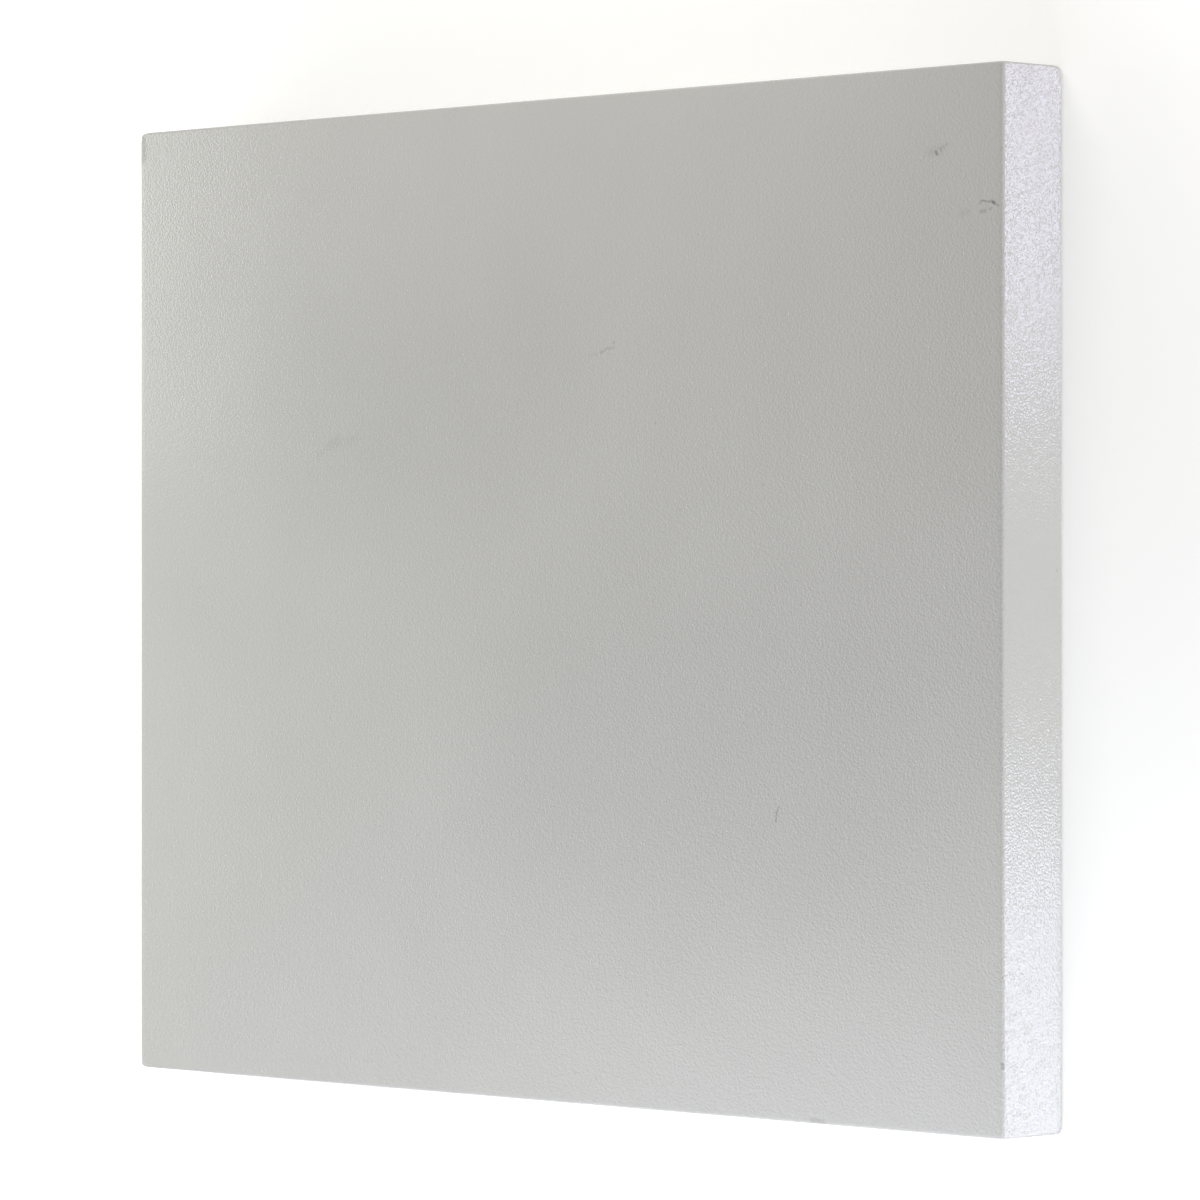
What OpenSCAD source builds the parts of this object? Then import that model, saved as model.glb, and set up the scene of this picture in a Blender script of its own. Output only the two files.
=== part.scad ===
// Foam insulation board: one square-edged piece of stock, lying flat on its back face.
// X runs along its length, Y along its width and Z through its thickness.
// The origin is at the middle of the back face.

/* [Board] */
// Length of the board, along X
board_length = 375; // [150:5:1200]
// Width of the board, along Y
board_width = 300; // [100:5:600]
// Thickness of the board, along Z
board_thickness = 25; // [10:1:100]

/* [Edges] */
// Radius of the arris between a face and an edge, where the skin turns over it
arris_radius = 1; // [0.4:0.1:1]
// Radius of the four upright corners, as seen from above, never under the arris radius
corner_radius = 1; // [1:0.5:10]

/* [Hidden] */
$fn = 48;

// Distances between the upright corners' centre lines, along X and along Y
straight_length = board_length - 2 * corner_radius;
straight_width = board_width - 2 * corner_radius;
// How far a cutting shape runs past the surface that it cuts
overcut = 1;

// What rounding takes off a square arris whose arc is centred on the origin.
module arris_waste() {
    difference() {
        square(arris_radius + overcut);
        circle(r = arris_radius);
    }
}

// Section of the board's rim, from a corner's centre line at x = 0 out to the edge.
module rim_section() {
    difference() {
        square([corner_radius, board_thickness]);
        translate([corner_radius - arris_radius, board_thickness - arris_radius])
            arris_waste();
        translate([corner_radius - arris_radius, arris_radius])
            mirror([0, 1])
                arris_waste();
    }
}

// Straight stretch of rim along X, centred on the origin, with its edge facing -Y.
module straight_rim(length) {
    translate([-length / 2, 0, 0])
        rotate([90, 0, 90])
            linear_extrude(height = length)
                mirror([1, 0])
                    rim_section();
}

// Upright corner: the rim's section turned about the corner's centre line.
module round_corner() {
    rotate_extrude()
        rim_section();
}

// The whole board: a plain middle, a rim along each of its four sides and a round corner between each two of them.
module insulation_board() {
    color("gainsboro") {
        translate([-straight_length / 2, -straight_width / 2, 0])
            cube([straight_length, straight_width, board_thickness]);
        for (half_turn = [0, 180])
            rotate([0, 0, half_turn]) {
                translate([0, -straight_width / 2, 0])
                    straight_rim(straight_length);
                rotate([0, 0, 90])
                    translate([0, -straight_length / 2, 0])
                        straight_rim(straight_width);
            }
        for (x_side = [-1, 1], y_side = [-1, 1])
            translate([x_side * straight_length / 2, y_side * straight_width / 2, 0])
                round_corner();
    }
}

insulation_board();
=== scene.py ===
# %% [markdown]
# # A foam insulation board
#
# The real board is one piece of rigid closed-cell foam with a white skin all round it. The skin
# was pressed against a pebbled surface while it was warm, so its faces and its edges carry the
# same fine grain, and it turns over every arris in one soft radius. There is nothing else to
# model, which makes the skin the whole lesson: a closed shell whose shape follows one rule, and
# one material that has to carry grain, sheen and a few marks of handling.
#
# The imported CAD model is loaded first. It fixes the board's size and place, and the skin is
# built around it.

import math

import bpy
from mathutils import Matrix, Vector


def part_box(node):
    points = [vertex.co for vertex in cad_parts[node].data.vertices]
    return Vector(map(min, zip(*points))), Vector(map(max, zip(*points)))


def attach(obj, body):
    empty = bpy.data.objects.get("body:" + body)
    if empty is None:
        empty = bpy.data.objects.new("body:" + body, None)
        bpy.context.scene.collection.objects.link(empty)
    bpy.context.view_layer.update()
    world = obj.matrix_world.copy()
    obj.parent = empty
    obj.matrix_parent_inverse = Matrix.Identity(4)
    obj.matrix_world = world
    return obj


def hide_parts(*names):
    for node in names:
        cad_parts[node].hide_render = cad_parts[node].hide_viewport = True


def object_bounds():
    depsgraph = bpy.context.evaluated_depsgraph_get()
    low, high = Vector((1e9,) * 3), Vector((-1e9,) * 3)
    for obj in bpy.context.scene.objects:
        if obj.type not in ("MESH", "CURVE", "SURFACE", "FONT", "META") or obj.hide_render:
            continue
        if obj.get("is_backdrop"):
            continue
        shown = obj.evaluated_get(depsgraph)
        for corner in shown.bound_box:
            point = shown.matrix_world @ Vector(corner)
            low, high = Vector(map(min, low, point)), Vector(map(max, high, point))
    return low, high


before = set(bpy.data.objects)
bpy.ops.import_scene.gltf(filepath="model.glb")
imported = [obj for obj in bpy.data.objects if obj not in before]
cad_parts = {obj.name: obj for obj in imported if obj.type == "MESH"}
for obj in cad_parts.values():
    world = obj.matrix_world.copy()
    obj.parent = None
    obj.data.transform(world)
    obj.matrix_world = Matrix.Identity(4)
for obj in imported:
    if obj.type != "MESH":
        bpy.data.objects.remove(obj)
cad_box = [list(corner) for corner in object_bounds()]
low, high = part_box("insulation_board")
length, width, thickness = high - low
centre = (low + high) / 2
MM = 0.001
print(f"board {length / MM:.0f} x {width / MM:.0f} x {thickness / MM:.0f} mm")

# %% [markdown]
# ## Two helpers
#
# Colours are easiest to choose as sRGB hex values, but Blender's sockets want linear light, so
# one function turns the one into the other.
#
# The second helper adds a node to any tree, with its settings and its links. Each input is given
# as a plain value, as an output of another node, or as the other node itself, which then stands
# for the first of its outputs that is in use. That lets a sum be written in the order in which
# it is thought: each line makes one node, and the next line uses it by name.

# %% Colour and node helpers
MATHS = "ShaderNodeMath"
VECTOR = "ShaderNodeVectorMath"
NOISE = "ShaderNodeTexNoise"
RANGE = "ShaderNodeMapRange"


def linear(hex_colour):
    """An sRGB hex colour such as "#D2D2CE" as a linear RGBA tuple."""
    channels = [int(hex_colour[i:i + 2], 16) / 255 for i in (1, 3, 5)]
    curve = [c / 12.92 if c <= 0.04045 else ((c + 0.055) / 1.055) ** 2.4 for c in channels]
    return (*curve, 1.0)


def add_node(tree, kind, inputs=None, **settings):
    """Adds one node. inputs maps a socket to a value, an output, or a node for its output in use."""
    node = tree.nodes.new(kind)
    for name, value in settings.items():
        setattr(node, name, value)
    for socket, value in (inputs or {}).items():
        if isinstance(value, bpy.types.Node):
            value = next(output for output in value.outputs if output.enabled)
        if isinstance(value, bpy.types.NodeSocket):
            tree.links.new(value, node.inputs[socket])
        else:
            node.inputs[socket].default_value = value
    return node


print("white skin in linear light", [round(c, 3) for c in linear("#D2D2CE")[:3]])

# %% [markdown]
# ## The shape of the skin
#
# A board with rounded arrises follows a simple rule: take every point of a plain box, find the
# nearest point of an inner box that is one radius smaller all round, and put the point one
# radius away from it. Flats stay flat, arrises become quarter rounds and corners become eighths
# of a sphere. A cube with a Bevel modifier would give the same outline, but no even grid of
# points for what follows. Geometry Nodes suits a rule like this: a Mesh Cube gives a grid of
# points counted in whole steps, and a little vector arithmetic places them.
#
# Steps across a flat are about 2 mm. Across an arris they are a few equal angles, which the
# tangent gives.

# %% Sizes of the skin's mesh
ARRIS_RADIUS = 1.0 * MM
ARRIS_STEPS = 4
FLAT_STEP = 2.0 * MM
EIGHTH_TURN = math.radians(45)

flat_size = Vector((length, width, thickness)) - Vector((2, 2, 2)) * ARRIS_RADIUS
flat_steps = Vector([2 * max(1, round(size / FLAT_STEP / 2)) for size in flat_size])
print("steps across the flats", [int(n) for n in flat_steps])


# %% A box that is counted in steps
def step_box(tree, sizes):
    """A box with points one unit apart: its flats, and Arris Steps more at both ends of each side."""
    rounding = add_node(tree, VECTOR, {0: (2, 2, 2), "Scale": sizes["Arris Steps"]}, operation="SCALE")
    box_steps = add_node(tree, VECTOR, {0: sizes["Flat Steps"], 1: rounding}, operation="ADD")
    box_points = add_node(tree, VECTOR, {0: box_steps, 1: (1, 1, 1)}, operation="ADD")
    counts = add_node(tree, "ShaderNodeSeparateXYZ", {0: box_points}).outputs
    return add_node(tree, "GeometryNodeMeshCube", {
        "Size": box_steps,
        "Vertices X": counts["X"],
        "Vertices Y": counts["Y"],
        "Vertices Z": counts["Z"],
    })


print("steps across an arris:", ARRIS_STEPS)


# %% The rounding rule
def rounding_rule(tree, sizes):
    """Where each point of the box goes, and which way is outwards there, from the board's middle."""
    here = add_node(tree, "GeometryNodeInputPosition")
    side = add_node(tree, VECTOR, {0: here}, operation="SIGN")
    steps = add_node(tree, VECTOR, {0: here}, operation="ABSOLUTE")
    half_steps = add_node(tree, VECTOR, {0: sizes["Flat Steps"], "Scale": 0.5}, operation="SCALE")
    half_flat = add_node(tree, VECTOR, {0: sizes["Flat Size"], "Scale": 0.5}, operation="SCALE")

    # Even steps over the flat.
    steps_on_flat = add_node(tree, VECTOR, {0: steps, 1: half_steps}, operation="MINIMUM")
    share = add_node(tree, VECTOR, {0: steps_on_flat, 1: half_steps}, operation="DIVIDE")
    on_flat = add_node(tree, VECTOR, {0: share, 1: half_flat}, operation="MULTIPLY")

    # Equal angles over the arris.
    steps_past = add_node(tree, VECTOR, {0: steps, 1: half_steps}, operation="SUBTRACT")
    steps_on_arris = add_node(tree, VECTOR, {0: steps_past, 1: (0, 0, 0)}, operation="MAXIMUM")
    angle_step = add_node(tree, MATHS, {0: EIGHTH_TURN, 1: sizes["Arris Steps"]}, operation="DIVIDE")
    angle = add_node(tree, VECTOR, {0: steps_on_arris, "Scale": angle_step}, operation="SCALE")
    tangent = add_node(tree, VECTOR, {0: angle}, operation="TANGENT")
    on_arris = add_node(tree, VECTOR, {0: tangent, "Scale": sizes["Arris Radius"]}, operation="SCALE")

    # One radius away from the inner box, towards the square one.
    inner = add_node(tree, VECTOR, {0: side, 1: on_flat}, operation="MULTIPLY")
    reach = add_node(tree, VECTOR, {0: on_flat, 1: on_arris}, operation="ADD")
    square = add_node(tree, VECTOR, {0: side, 1: reach}, operation="MULTIPLY")
    offset = add_node(tree, VECTOR, {0: square, 1: inner}, operation="SUBTRACT")
    outward = add_node(tree, VECTOR, {0: offset}, operation="NORMALIZE")
    radius = add_node(tree, VECTOR, {0: outward, "Scale": sizes["Arris Radius"]}, operation="SCALE")
    rounded = add_node(tree, VECTOR, {0: inner, 1: radius}, operation="ADD")
    return rounded, outward


print("each arris has a radius of", ARRIS_RADIUS / MM, "mm")

# %% [markdown]
# ## Slow waves
#
# Foam never cools quite flat, and a dead flat board looks like a drawing of one. A slow noise
# draws the skin in by less than a tenth of a millimetre, which only the sheen shows. It could be
# a bump, but then the arrises would stay ruled lines. The waves only go inwards, so the board
# never grows past the CAD solid.

# %% The waves
WAVE_DEPTH = 0.08 * MM
WAVE_PERIOD = 28 * MM
WAVE_SEED = 7.0
WAVE_DETAIL = 2.0


def waved(tree, sizes, rounded, outward):
    """The rounded place, drawn in by the waves."""
    frequency = add_node(tree, MATHS, {0: 1.0, 1: sizes["Wave Period"]}, operation="DIVIDE")
    waves = add_node(tree, NOISE, {
        "Vector": rounded,
        "W": sizes["Wave Seed"],
        "Scale": frequency,
        "Detail": WAVE_DETAIL,
    }, noise_dimensions="4D")
    inwards = add_node(tree, MATHS, {0: waves, 1: sizes["Wave Depth"]}, operation="MULTIPLY")
    drawn = add_node(tree, VECTOR, {0: outward, "Scale": inwards}, operation="SCALE")
    return add_node(tree, VECTOR, {0: rounded, 1: drawn}, operation="SUBTRACT")


print(f"waves of {WAVE_PERIOD / MM:.0f} mm, at most {WAVE_DEPTH / MM:.2f} mm deep")

# %% [markdown]
# ## Knocked corners
#
# Foam this light dents when a corner is dropped or caught. The two corners at the left end of
# this board have been worn round over their upper half, and the two at the right end are pressed
# in a little at the back. A dent is a push that is full at the corner and dies away smoothly, so
# the tree can add it to the place of each point near there. Each dent names its corner, how far
# it reaches along X, Y and Z, and how far it pushes the corner itself, in millimetres.

# %% The dents
DENTS = (
    {"corner": (-1, 1, 1), "reach": (2.6, 3.0, 12.0), "push": (0.3, -0.5, -0.1)},
    {"corner": (1, 1, -1), "reach": (3.0, 2.4, 2.4), "push": (-0.2, -0.5, 0.2)},
    {"corner": (1, -1, -1), "reach": (2.2, 2.2, 2.2), "push": (-0.1, 0.3, 0.2)},
    {"corner": (-1, -1, 1), "reach": (2.4, 2.4, 12.0), "push": (0.3, 0.3, -0.1)},
)


def dented(tree, sizes, rounded, shape):
    """The shape with the push of every dent added."""
    half_flat = add_node(tree, VECTOR, {0: sizes["Flat Size"], "Scale": 0.5}, operation="SCALE")
    rim = add_node(tree, VECTOR, {0: (1, 1, 1), "Scale": sizes["Arris Radius"]}, operation="SCALE")
    half_size = add_node(tree, VECTOR, {0: half_flat, 1: rim}, operation="ADD")
    for dent in DENTS:
        reach = Vector(dent["reach"]) * MM
        push = Vector(dent["push"]) * MM
        corner = add_node(tree, VECTOR, {0: half_size, 1: dent["corner"]}, operation="MULTIPLY")
        offset = add_node(tree, VECTOR, {0: rounded, 1: corner}, operation="SUBTRACT")
        reaches = add_node(tree, VECTOR, {0: offset, 1: reach}, operation="DIVIDE")
        distance = add_node(tree, VECTOR, {0: reaches}, operation="LENGTH")
        strength = add_node(tree, RANGE, {
            "Value": distance,
            "From Min": 1.0,
            "From Max": 0.0,
        }, interpolation_type="SMOOTHSTEP")
        pushed = add_node(tree, VECTOR, {0: push, "Scale": strength}, operation="SCALE")
        shape = add_node(tree, VECTOR, {0: shape, 1: pushed}, operation="ADD")
    return shape


print(len(DENTS), "dented corners")

# %% [markdown]
# ## One tree for the whole board
#
# The steps above go into one tree, in the order in which the board gets its shape. Its sizes are
# named inputs, so another board needs other values and no other tree.

# %% The tree that makes the board
INPUTS = (
    ("Flat Steps", "NodeSocketVector"),
    ("Flat Size", "NodeSocketVector"),
    ("Arris Radius", "NodeSocketFloat"),
    ("Arris Steps", "NodeSocketInt"),
    ("Centre", "NodeSocketVector"),
    ("Wave Depth", "NodeSocketFloat"),
    ("Wave Period", "NodeSocketFloat"),
    ("Wave Seed", "NodeSocketFloat"),
    ("Skin", "NodeSocketMaterial"),
)


def board_tree():
    """Geometry Nodes that build the whole skin from its named sizes."""
    tree = bpy.data.node_groups.new("rounded_foam_board", "GeometryNodeTree")
    for name, kind in INPUTS:
        tree.interface.new_socket(name, in_out="INPUT", socket_type=kind)
    tree.interface.new_socket("Board", in_out="OUTPUT", socket_type="NodeSocketGeometry")
    sizes = add_node(tree, "NodeGroupInput").outputs
    box = step_box(tree, sizes)
    rounded, outward = rounding_rule(tree, sizes)
    shape = dented(tree, sizes, rounded, waved(tree, sizes, rounded, outward))
    place = add_node(tree, VECTOR, {0: shape, 1: sizes["Centre"]}, operation="ADD")
    placed = add_node(tree, "GeometryNodeSetPosition", {"Geometry": box, "Position": place})
    smooth = add_node(tree, "GeometryNodeSetShadeSmooth", {"Geometry": placed})
    real = add_node(tree, "GeometryNodeRealizeInstances", {"Geometry": smooth})
    skinned = add_node(tree, "GeometryNodeSetMaterial", {"Geometry": real, "Material": sizes["Skin"]})
    add_node(tree, "NodeGroupOutput", {"Board": skinned})
    return tree


BOARD_TREE = board_tree()
print("board tree:", len(BOARD_TREE.nodes), "nodes")

# %% [markdown]
# ## A stroke of dirt
#
# Scuffs, ticks and specks are all short strokes: a line from one point to another, with a width
# and a soft border. They could be painted on an image, but the image would be a second file with
# a fixed sharpness. A small node group instead measures how far the surface is from the line, in
# millimetres, and turns the distance into a mask. Every mark on the board is one or more of
# these strokes.

# %% The stroke group
def stroke_group():
    """Shader group: 1 on the line from Start to End, falling to 0 over Border outside Half Width."""
    tree = bpy.data.node_groups.new("stroke", "ShaderNodeTree")
    for name in ("Point", "Start", "End"):
        tree.interface.new_socket(name, in_out="INPUT", socket_type="NodeSocketVector")
    for name in ("Half Width", "Border"):
        tree.interface.new_socket(name, in_out="INPUT", socket_type="NodeSocketFloat")
    tree.interface.new_socket("Mask", in_out="OUTPUT", socket_type="NodeSocketFloat")
    given = add_node(tree, "NodeGroupInput").outputs

    along = add_node(tree, VECTOR, {0: given["End"], 1: given["Start"]}, operation="SUBTRACT")
    offset = add_node(tree, VECTOR, {0: given["Point"], 1: given["Start"]}, operation="SUBTRACT")
    passed = add_node(tree, VECTOR, {0: offset, 1: along}, operation="DOT_PRODUCT")
    whole = add_node(tree, VECTOR, {0: along, 1: along}, operation="DOT_PRODUCT")
    share = add_node(tree, MATHS, {0: passed, 1: whole}, operation="DIVIDE", use_clamp=True)
    nearest = add_node(tree, VECTOR, {0: along, "Scale": share}, operation="SCALE")
    distance = add_node(tree, VECTOR, {0: offset, 1: nearest}, operation="DISTANCE")
    outside = add_node(tree, MATHS, {0: given["Half Width"], 1: given["Border"]}, operation="ADD")
    mask = add_node(tree, RANGE, {
        "Value": distance,
        "From Min": outside,
        "From Max": given["Half Width"],
    }, interpolation_type="SMOOTHSTEP")
    add_node(tree, "NodeGroupOutput", {"Mask": mask})
    return tree


STROKE = stroke_group()
print("stroke group:", len(STROKE.nodes), "nodes")

# %% [markdown]
# ## Where the marks are
#
# Handling has left two dark scuffs near the far right corner, a smear above the middle, a grey
# smudge on the left, one shallow scratch, a few specks and a rub and a nick on the arrises. The
# scratch is a dark line of painted shade, for the shade in its groove. A grey strip down the far
# left corner, where the arris turns from the light, and two broad, very faint darker patches are
# painted shade too.
#
# The places are in millimetres, from the middle of the board and up from its back face. Each mark
# is the line through its points, then its half width, its soft border, and the share of the light
# that it takes away.

# %% The marks
TOP = thickness / MM
RIGHT = length / MM / 2
NEAR = -width / MM / 2


def on_face(*places):
    """Places (x, y) on the board's upper face, as points."""
    return [(x, y, TOP) for x, y in places]


MARKS = (
    # The upper scuff: a dark dash, short faint ones beside it, the rub round them and its tail.
    (on_face((161.9, 126.0), (162.5, 125.1)), 0.2, 0.4, 0.60),
    (on_face((163.6, 126.9), (164.1, 126.1)), 0.15, 0.4, 0.24),
    (on_face((165.0, 127.2), (165.4, 126.6)), 0.1, 0.4, 0.18),
    (on_face((159.9, 126.4), (160.3, 125.7)), 0.1, 0.4, 0.18),
    (on_face((160.5, 125.2), (160.9, 124.7)), 0.1, 0.4, 0.20),
    (on_face((159.9, 125.9), (163.9, 126.3)), 0.6, 1.6, 0.08),
    (on_face((163.5, 126.6), (166.4, 127.8)), 0.15, 0.6, 0.14),
    # The lower scuff: a hooked line with a dark blot at its end, its tail and the dirt below.
    (on_face((178.5, 110.5), (179.6, 111.4), (181.6, 111.0), (183.2, 110.9)), 0.08, 0.38, 0.34),
    (on_face((183.4, 111.0), (184.3, 110.5)), 0.25, 0.4, 0.62),
    (on_face((184.4, 110.2), (185.9, 109.7)), 0.1, 0.45, 0.26),
    (on_face((179.2, 108.3), (179.6, 108.5)), 0.25, 0.6, 0.22),
    (on_face((180.6, 108.3), (180.8, 108.6)), 0.25, 0.6, 0.22),
    (on_face((182.8, 108.9), (183.0, 109.2)), 0.15, 0.5, 0.22),
    (on_face((171.8, 108.0), (174.0, 108.5)), 0.4, 1.2, 0.07),
    # The smear above the middle: a dot, a streak, a second dot and a faint start.
    (on_face((26.3, 73.4), (26.6, 73.6)), 0.2, 0.45, 0.26),
    (on_face((27.2, 73.9), (28.9, 74.4), (31.5, 74.6)), 0.2, 0.6, 0.14),
    (on_face((31.5, 76.0), (31.8, 76.2)), 0.2, 0.45, 0.16),
    (on_face((21.5, 72.6), (24.4, 72.9)), 0.3, 0.8, 0.07),
    # The grey smudge on the left: a streak, a dark blot, a fainter one and the shade round them.
    (on_face((-100.6, 45.2), (-97.6, 46.4), (-95.2, 48.0)), 0.4, 1.8, 0.10),
    (on_face((-95.0, 48.2), (-91.6, 49.2)), 0.6, 3.4, 0.13),
    (on_face((-89.0, 48.6), (-83.6, 49.6)), 0.6, 3.4, 0.09),
    (on_face((-98.0, 47.4), (-83.0, 50.4)), 1.5, 6.5, 0.055),
    # Painted shade: two broad, faint darker patches, right of the middle and above it on the left.
    (on_face((30.0, -45.0), (110.0, -48.0)), 12.0, 80.0, 0.066),
    (on_face((-95.0, 62.0), (-20.0, 62.0)), 10.0, 50.0, 0.055),
    # Painted shade: a grey strip down the far left corner, where the arris turns away from the light.
    (on_face((-RIGHT + 0.3, 147.5), (-RIGHT + 0.4, 142.3)), 1.9, 1.4, 0.26),
    # The shallow scratch: a dark line of painted shade, for the shade in its groove.
    (on_face((100.1, -59.7), (99.3, -61.3), (99.0, -63.7)), 0.2, 0.4, 0.32),
    # A rub on the near arris, and a nick in the right one.
    (on_face((113.8, NEAR + 0.6), (118.0, NEAR + 0.2)), 0.5, 1.2, 0.18),
    (on_face((RIGHT, -129.2), (RIGHT, -130.0)), 0.4, 0.7, 0.35),
    # Dirt on the near right corner, down at the back.
    ([(RIGHT, NEAR + 0.8, 0.3), (RIGHT, NEAR + 1.4, 1.2)], 0.3, 1.0, 0.15),
)
print(len(MARKS), "marks")

# %% The specks
# Where each speck is, and the share of the light that it takes away.
SPECKS = (
    ((49.2, 52.0, TOP), 0.20),
    ((59.6, 26.4, TOP), 0.20),
    ((93.7, 33.2, TOP), 0.18),
    ((37.5, -81.0, TOP), 0.14),
    ((-54.9, -72.1, TOP), 0.14),
    ((15.3, -140.8, TOP), 0.18),
    ((-134.5, 106.6, TOP), 0.16),
    ((RIGHT, 36.7, 10.0), 0.14),
    ((RIGHT, 8.2, 2.6), 0.16),
)
SPECK_LENGTH = Vector((0.1, 0.1, 0.0))
SPECK_HALF_WIDTH = 0.2
SPECK_BORDER = 0.35
print(len(SPECKS), "specks")

# %% [markdown]
# ## The skin's grain
#
# The skin is the foam itself, closed and smoothed by the mould, and it looks like a satin plastic.
# Pressed against a grained surface while it was warm, it took a low pebble that repeats about
# every 1.2 mm. That gives the eye three things: a nearly even pale grey-white, a soft sheen that
# breaks into tiny glints where it starts and ends, and a relief that shows best in raking light.
#
# The grain could be modelled, but 80,000 pebbles on each face would make a heavy mesh, and none
# of them ever shows in the outline, so it is a bump. Its noise is finer than the pebble, because
# a pebble is a rise with the dip beside it.
#
# The grain isn't equally clear all over the board, so its depth changes slowly. It is deepest
# towards the near right corner, shallow on the left, and clear again in the far left corner. The
# edges have a depth of their own.

# %% The grain's sizes in millimetres, and its depth as a share of its height
GRAIN_PITCH = 0.70
GRAIN_HEIGHT = 0.16
GRAIN_DETAIL = 0.5
DEEPER_TOWARDS = (0.55, -0.83, 0.0)
SHALLOW_SIDE = {"place": -130.0, "depth": 0.5}
DEEP_SIDE = {"place": 150.0, "depth": 1.75}
CORNER_REACH = 75.0
CORNER_CORE = 5.0
CORNER_EXTRA = 0.42
EDGE_DEPTH = 1.15
print(f"grain of {GRAIN_PITCH} mm noise, {GRAIN_HEIGHT} mm high")
print("grain depth on the face", SHALLOW_SIDE["depth"], "to", DEEP_SIDE["depth"])


# %% The grain
def grain(tree, point, is_face):
    """The grain's height in millimetres."""
    towards_deep = add_node(tree, VECTOR, {0: point, 1: DEEPER_TOWARDS}, operation="DOT_PRODUCT")
    across_face = add_node(tree, RANGE, {
        "Value": towards_deep,
        "From Min": SHALLOW_SIDE["place"],
        "From Max": DEEP_SIDE["place"],
        "To Min": SHALLOW_SIDE["depth"],
        "To Max": DEEP_SIDE["depth"],
    }, interpolation_type="SMOOTHSTEP")
    far_left_corner = (-RIGHT, -NEAR, TOP)
    from_corner = add_node(tree, VECTOR, {0: point, 1: far_left_corner}, operation="DISTANCE")
    at_corner = add_node(tree, RANGE, {
        "Value": from_corner,
        "From Min": CORNER_REACH,
        "From Max": CORNER_CORE,
        "To Max": CORNER_EXTRA,
    }, interpolation_type="SMOOTHSTEP")
    face_depth = add_node(tree, MATHS, {0: across_face, 1: at_corner}, operation="ADD")
    depth = add_node(tree, "ShaderNodeMix", {"Factor": is_face, 2: EDGE_DEPTH, 3: face_depth})
    pebbles = add_node(tree, NOISE, {
        "Vector": point,
        "Scale": 1 / GRAIN_PITCH,
        "Detail": GRAIN_DETAIL,
    })
    full_height = add_node(tree, MATHS, {0: depth, 1: GRAIN_HEIGHT}, operation="MULTIPLY")
    return add_node(tree, MATHS, {0: pebbles, 1: full_height}, operation="MULTIPLY")


print("grain depth on the edges", EDGE_DEPTH)

# %% [markdown]
# ## Dirt, colour and sheen
#
# Dirt catches on the tops of a grain and misses its dips, so a mark is never an even stroke. A
# fine noise breaks it up. Where strokes cross, the darkest one counts, because dirt on dirt is
# no darker.
#
# The clean skin is off-white with a slow, faint mottle, and its sheen is satin and a little uneven
# too. A plain colour and a plain roughness would do from afar, but make a large flat face look
# like a gap in the picture. The faces are a little duller than the edges, and dirt is dull as
# well, and so is the painted shade among the marks, so they raise the roughness.

# %% Sizes and colours of dirt, mottle and sheen
# From the noise's value to the share of a stroke that shows, and below to the skin's roughness.
BREAKUP = {"From Min": 0.30, "From Max": 0.60, "To Min": 0.55, "To Max": 1.1}
BREAKUP_PITCH = 0.9
BREAKUP_DETAIL = 2.0
MOTTLE_PITCH = 35.0
MOTTLE_DETAIL = 3.0
MOTTLE_DARK = linear("#CBCAC8")
MOTTLE_LIGHT = linear("#D1D0CE")
SHEEN_ROUGHNESS = {"From Min": 0.3, "From Max": 0.7, "To Min": 0.10, "To Max": 0.14}
SHEEN_PITCH = 14.0
SHEEN_DETAIL = 3.0
FACE_DULLNESS = 0.06
# Extra roughness under the marks, the painted shade among them.
DIRT_AND_SHADE_DULLNESS = 0.4
print(f"edges have a roughness of {SHEEN_ROUGHNESS['To Min']} to {SHEEN_ROUGHNESS['To Max']}")
print("faces have", FACE_DULLNESS, "more")


# %% The dirt and the painted shade
def all_strokes():
    """Every stroke: both ends, half width, border and darkness."""
    strokes = [
        (start, end, half_width, border, dark)
        for line, half_width, border, dark in MARKS
        for start, end in zip(line, line[1:])
    ]
    strokes += [
        (place, Vector(place) + SPECK_LENGTH, SPECK_HALF_WIDTH, SPECK_BORDER, dark)
        for place, dark in SPECKS
    ]
    return strokes


def dirt_and_shade_share(tree, point):
    """The share of the light that dirty marks and painted shade take away: the darkest stroke, broken
    up by the grain.
    """
    darkest = 0.0
    for start, end, half_width, border, dark in all_strokes():
        mask = add_node(tree, "ShaderNodeGroup", {
            "Point": point,
            "Start": start,
            "End": end,
            "Half Width": half_width,
            "Border": border,
        }, node_tree=STROKE)
        share = add_node(tree, MATHS, {0: mask, 1: dark}, operation="MULTIPLY")
        darkest = add_node(tree, MATHS, {0: share, 1: darkest}, operation="MAXIMUM")
    gaps = add_node(tree, NOISE, {
        "Vector": point,
        "Scale": 1 / BREAKUP_PITCH,
        "Detail": BREAKUP_DETAIL,
    })
    broken = add_node(tree, RANGE, {"Value": gaps, **BREAKUP})
    return add_node(tree, MATHS, {0: darkest, 1: broken}, operation="MULTIPLY")


print(len(all_strokes()), "strokes of dirt")


# %% The colour and the sheen
def skin_colour(tree, point, dirt_and_shade):
    """Off-white with a slow, faint mottle, darkened where the skin is dirty and by the painted shade.
    """
    clouds = add_node(tree, NOISE, {
        "Vector": point,
        "Scale": 1 / MOTTLE_PITCH,
        "Detail": MOTTLE_DETAIL,
    })
    mottle = add_node(tree, "ShaderNodeMix", {
        "Factor": clouds,
        6: MOTTLE_DARK,
        7: MOTTLE_LIGHT,
    }, data_type="RGBA")
    clean = add_node(tree, MATHS, {0: 1.0, 1: dirt_and_shade}, operation="SUBTRACT")
    return add_node(tree, VECTOR, {0: mottle, "Scale": clean}, operation="SCALE")


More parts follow.
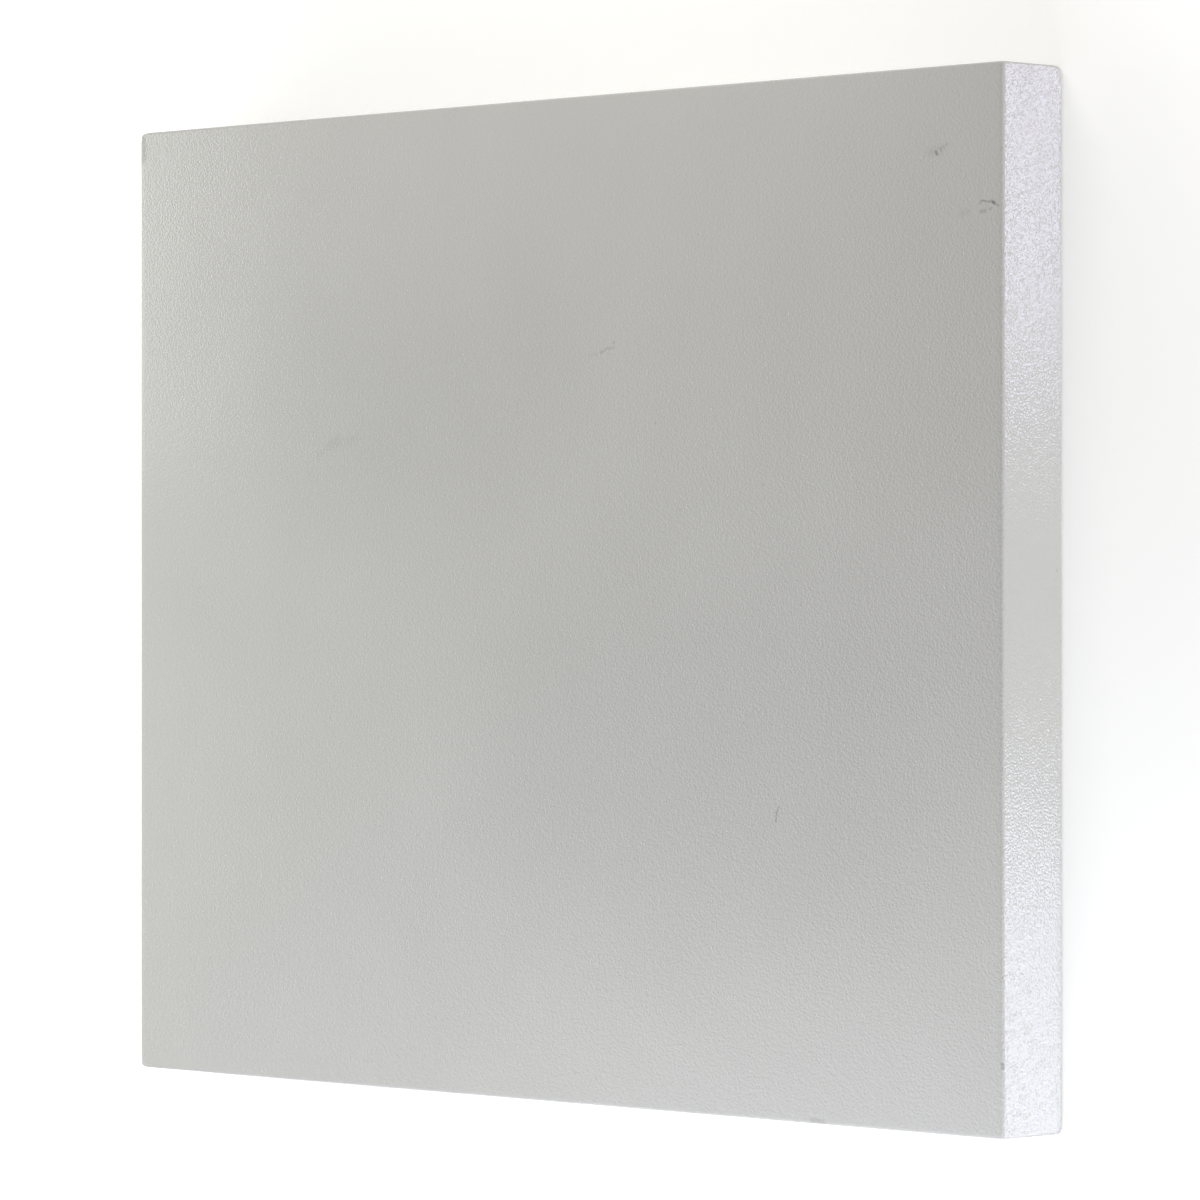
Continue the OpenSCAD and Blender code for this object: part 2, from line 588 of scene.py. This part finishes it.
def skin_roughness(tree, point, is_face, dirt_and_shade):
    """Satin, a little uneven, and duller on the faces, where the skin is dirty and under the painted
    shade.
    """
    clouds = add_node(tree, NOISE, {
        "Vector": point,
        "Scale": 1 / SHEEN_PITCH,
        "Detail": SHEEN_DETAIL,
    })
    satin = add_node(tree, RANGE, {"Value": clouds, **SHEEN_ROUGHNESS})
    handled = add_node(tree, MATHS, {0: is_face, 1: FACE_DULLNESS}, operation="MULTIPLY")
    soiled_or_shaded = add_node(tree, MATHS, {0: dirt_and_shade, 1: DIRT_AND_SHADE_DULLNESS}, operation="MULTIPLY")
    duller = add_node(tree, MATHS, {0: handled, 1: soiled_or_shaded}, operation="ADD")
    return add_node(tree, MATHS, {0: satin, 1: duller}, operation="ADD")


print(f"mottle every {MOTTLE_PITCH:.0f} mm, sheen every {SHEEN_PITCH:.0f} mm")

# %% [markdown]
# ## The skin's material
#
# The parts come together in one plastic. All of them are read from Object coordinates, turned
# into millimetres, so that one grain runs over faces and edges alike and no unwrapping is needed.
# The height above the floor tells a face from an edge.

# %% The foam skin
FACE_FADE = {"starts": 1.0, "full": 0.2}
SKIN_IOR = 1.5


def foam_skin():
    """Moulded foam skin: satin, off-white, with a pebbled grain."""
    material = bpy.data.materials.new("moulded_foam_skin")
    material.use_nodes = True
    tree = material.node_tree
    tree.nodes.clear()
    metres = add_node(tree, "ShaderNodeTexCoord").outputs["Object"]
    point = add_node(tree, VECTOR, {0: metres, "Scale": 1 / MM}, operation="SCALE")

    # 1 on the two faces, 0 on the edges, and a quick change over the arris.
    height = add_node(tree, "ShaderNodeSeparateXYZ", {0: point}).outputs["Z"]
    offset = add_node(tree, MATHS, {0: height, 1: TOP / 2}, operation="SUBTRACT")
    from_middle = add_node(tree, MATHS, {0: offset}, operation="ABSOLUTE")
    is_face = add_node(tree, RANGE, {
        "Value": from_middle,
        "From Min": TOP / 2 - FACE_FADE["starts"],
        "From Max": TOP / 2 - FACE_FADE["full"],
    }, interpolation_type="SMOOTHSTEP")

    # Dirt and painted shade together, as the darkest stroke at each point.
    dirt_and_shade = dirt_and_shade_share(tree, point)
    bump = add_node(tree, "ShaderNodeBump", {
        "Strength": 1.0,
        "Distance": MM,
        "Height": grain(tree, point, is_face),
    })
    skin = add_node(tree, "ShaderNodeBsdfPrincipled", {
        "Base Color": skin_colour(tree, point, dirt_and_shade),
        "Roughness": skin_roughness(tree, point, is_face, dirt_and_shade),
        "IOR": SKIN_IOR,
        "Normal": bump,
    })
    add_node(tree, "ShaderNodeOutputMaterial", {"Surface": skin})
    return material


SKIN = foam_skin()
print("foam skin:", len(SKIN.node_tree.nodes), "nodes")

# %% [markdown]
# ## Make the board
#
# The tree runs once on an empty object. Its result is copied into a plain mesh, so nothing is
# left to evaluate, and the maker is thrown away. The board then rides on the one body and stands
# in for the CAD solid.

# %% Run the tree and keep the result
def made_by(tree, name, values):
    """The mesh that a Geometry Nodes tree makes from these named values, as a plain object."""
    maker = bpy.data.objects.new("maker", bpy.data.meshes.new("maker"))
    bpy.context.scene.collection.objects.link(maker)
    modifier = maker.modifiers.new(tree.name, "NODES")
    modifier.node_group = tree
    for item in tree.interface.items_tree:
        if item.in_out == "INPUT":
            modifier[item.identifier] = values[item.name]
    graph = bpy.context.evaluated_depsgraph_get()
    mesh = bpy.data.meshes.new_from_object(maker.evaluated_get(graph), depsgraph=graph)
    bpy.data.objects.remove(maker)
    mesh.name = name
    made = bpy.data.objects.new(name, mesh)
    bpy.context.scene.collection.objects.link(made)
    return made


board = made_by(BOARD_TREE, "foam_board", {
    "Flat Steps": flat_steps,
    "Flat Size": flat_size,
    "Arris Radius": ARRIS_RADIUS,
    "Arris Steps": ARRIS_STEPS,
    "Centre": centre,
    "Wave Depth": WAVE_DEPTH,
    "Wave Period": WAVE_PERIOD,
    "Wave Seed": WAVE_SEED,
    "Skin": SKIN,
})
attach(board, "root")
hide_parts("insulation_board")
triangles = sum(len(polygon.vertices) - 2 for polygon in board.data.polygons)
print("foam board:", len(board.data.vertices), "points,", triangles, "triangles")

# %% [markdown]
# ## Floor and backdrop
#
# The board lies on a plain white floor. The floor adds a little light of its own where a camera
# sees it, so that it reads as clean white and still keeps the board's soft shadow. Far from the
# board it is all light, and melts into the white world behind it.
#
# Some lamps stand lower than the floor, so it is clear to a view from below and to what the
# skin's gloss looks at. The right edge can then shine as if the board stood on a tall plinth.

# %% Where rays come from
WHITE = linear("#FFFFFF")


def seen_directly(tree):
    """1 for rays from the camera, from a reflection or through glass, and 0 for bounced light."""
    path = add_node(tree, "ShaderNodeLightPath").outputs
    seen = path["Is Camera Ray"]
    for other in ("Is Glossy Ray", "Is Transmission Ray"):
        seen = add_node(tree, MATHS, {0: seen, 1: path[other]}, operation="MAXIMUM")
    return seen


print("white backdrop", WHITE[:3])

# %% The floor's paint
FLOOR_GLOW = 0.38
GLOW_STARTS = 0.20
GLOW_FULL = 0.50
FLOOR_PAINT = linear("#EDEDED")


def floor_paint():
    """Matt white paint with its own glow, which grows with the distance from the board."""
    material = bpy.data.materials.new("matt_white_floor")
    material.use_nodes = True
    tree = material.node_tree
    tree.nodes.clear()
    place = add_node(tree, "ShaderNodeTexCoord").outputs["Object"]
    distance = add_node(tree, VECTOR, {0: place}, operation="LENGTH")
    glow = add_node(tree, RANGE, {
        "Value": distance,
        "From Min": GLOW_STARTS,
        "From Max": GLOW_FULL,
        "To Min": FLOOR_GLOW,
    }, interpolation_type="SMOOTHSTEP")
    strength = add_node(tree, MATHS, {0: glow, 1: seen_directly(tree)}, operation="MULTIPLY")
    light = add_node(tree, "ShaderNodeEmission", {"Color": WHITE, "Strength": strength})
    paint = add_node(tree, "ShaderNodeBsdfDiffuse", {"Color": FLOOR_PAINT})
    lit = add_node(tree, "ShaderNodeAddShader", {0: light, 1: paint})
    open_to = add_node(tree, MATHS, {
        0: add_node(tree, "ShaderNodeLightPath").outputs["Is Glossy Ray"],
        1: add_node(tree, "ShaderNodeNewGeometry").outputs["Backfacing"],
    }, operation="MAXIMUM")
    clear = add_node(tree, "ShaderNodeBsdfTransparent")
    both = add_node(tree, "ShaderNodeMixShader", {0: open_to, 1: lit, 2: clear})
    add_node(tree, "ShaderNodeOutputMaterial", {"Surface": both})
    return material


print("floor glow", FLOOR_GLOW, "by the board")

# %% The floor
FLOOR_SIZE = 20.0
FLOOR_GAP = 0.2 * MM

half = FLOOR_SIZE / 2
floor_corners = [(-half, -half), (half, -half), (half, half), (-half, half)]
floor_mesh = bpy.data.meshes.new("floor")
floor_mesh.from_pydata([(x, y, -FLOOR_GAP) for x, y in floor_corners], [], [(0, 1, 2, 3)])
floor_mesh.materials.append(floor_paint())
floor = bpy.data.objects.new("floor", floor_mesh)
bpy.context.scene.collection.objects.link(floor)
floor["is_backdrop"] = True
print("floor", FLOOR_SIZE, "m square")

# %% The white world
WORLD_FILL = 0.294

world = bpy.data.worlds.new("white_studio")
world.use_nodes = True
bpy.context.scene.world = world
world_tree = world.node_tree
world_tree.nodes.clear()
strength = add_node(world_tree, RANGE, {"Value": seen_directly(world_tree), "To Min": WORLD_FILL})
backdrop = add_node(world_tree, "ShaderNodeBackground", {"Color": WHITE, "Strength": strength})
add_node(world_tree, "ShaderNodeOutputWorld", {"Surface": backdrop})
print("world fill", WORLD_FILL)

# %% [markdown]
# ## Lamps
#
# The light is that of a room with windows on several sides. Soft lamps at the near side, the far
# side and the left light the skin itself, and a fill from the right lights the right edge. They
# are kept out of the skin's gloss, because each would lay a broad, milky patch over the grain.
#
# The gloss has lamps of its own, which light nothing else. A window at the left is mirrored just
# past the far left corner, so the face there breaks into glints. Two more are mirrored at both
# ends of the right edge and leave its middle plain. A lamp mirrored in that edge has to be low,
# so these two and the fill stand below the floor's level, and cast no shadows.
#
# For a gloss lamp, the place comes from the mirror rule: the ray from the camera to the spot
# that should shine is turned over the surface there, and the lamp is put a little way along it.

# %% The lamps
# Places, sizes and aims are in metres, and powers in watts.
LAMPS = (
    {"name": "near_strip", "place": (0.10, -0.34, 0.20), "size": (0.50, 0.12), "power": 0.86,
     "colour": "#F4F7FF"},
    {"name": "far_strip", "place": (0.04, 0.24, 0.07), "size": (0.26, 0.05), "power": 0.037,
     "colour": "#FFFDF4"},
    {"name": "far_lamp", "place": (0.0, 0.80, 0.60), "size": (0.60, 0.40), "power": 2.60,
     "colour": "#FFFBEE"},
    {"name": "left_low_lamp", "place": (-0.55, -0.04, 0.143), "size": (0.60, 0.12), "power": 1.82,
     "colour": "#FBFFF8"},
    {"name": "left_lamp", "place": (-0.60, 0.10, 0.30), "size": (0.50, 0.15), "power": 0.36,
     "colour": "#FBFFF6"},
    {"name": "right_fill", "place": (1.0, -0.10, -0.15), "size": (0.60, 0.30), "power": 4.20,
     "colour": "#FDFFFF", "below": True},
    {"name": "left_window", "place": (-0.449, 0.172, 0.179), "size": (0.24, 0.12), "power": 0.145,
     "colour": "#FFFFFF", "aim": (-0.25, 0.15, 0.025), "sheen": True},
    {"name": "far_sheen", "place": (0.305, 0.180, -0.117), "size": (0.24, 0.055), "power": 0.27,
     "colour": "#E4DDFF", "aim": (0.1875, 0.164, 0.0125), "sheen": True, "below": True},
    {"name": "near_sheen", "place": (0.305, -0.196, -0.117), "size": (0.26, 0.07), "power": 0.36,
     "colour": "#E0E5FF", "aim": (0.1875, -0.176, 0.0125), "sheen": True, "below": True},
)
print(len(LAMPS), "lamps")


# %% Place the lamps
def add_lamp(name, place, size, power, colour, aim=centre, sheen=False, below=False):
    """A rectangular lamp that lights the skin or, as a sheen, only shows in its gloss."""
    data = bpy.data.lights.new(name, "AREA")
    data.shape = "RECTANGLE"
    data.size, data.size_y = size
    data.energy = power
    data.color = linear(colour)[:3]
    data.use_shadow = not below
    lamp = bpy.data.objects.new(name, data)
    lamp.location = place
    lamp.rotation_euler = (Vector(aim) - Vector(place)).to_track_quat("-Z", "Y").to_euler()
    lamp.visible_camera = False
    lamp.visible_diffuse = not sheen
    lamp.visible_glossy = sheen
    bpy.context.scene.collection.objects.link(lamp)


for settings in LAMPS:
    add_lamp(**settings)
print("lamps in the gloss:", [settings["name"] for settings in LAMPS if settings.get("sheen")])

# %% [markdown]
# ## Camera
#
# The camera looks down on the board's face from the right, with a long lens, so that the face
# fills most of the frame and the right edge shows as a narrow band.

# %% Place the camera
LEAN = math.radians(46.16)
DISTANCE = 1.875
SIDESTEP = 8.9 * MM
FOCAL_LENGTH = 186.9
SENSOR_WIDTH = 36.0

lens = bpy.data.cameras.new("camera")
lens.lens = FOCAL_LENGTH
lens.sensor_width = SENSOR_WIDTH
camera = bpy.data.objects.new("camera", lens)
towards_camera = Vector((math.sin(LEAN), 0.0, math.cos(LEAN)))
rightwards = Vector((math.cos(LEAN), 0.0, -math.sin(LEAN)))
camera.location = centre + DISTANCE * towards_camera + SIDESTEP * rightwards
camera.rotation_euler = (0.0, LEAN, 0.0)
bpy.context.scene.collection.objects.link(camera)
bpy.context.scene.camera = camera
bpy.context.scene.view_settings.view_transform = "Standard"
print(f"camera {DISTANCE:.2f} m away, leaning {math.degrees(LEAN):.1f} degrees")

# %% [markdown]
# ## Finish
#
# The visual model has to fill the same box as the CAD solid, so both boxes are printed.

# %% Print both boxes
new_box = [list(corner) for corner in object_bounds()]
for name, box in (("cad", cad_box), ("visual", new_box)):
    print(name, [[round(value / MM, 2) for value in corner] for corner in box])
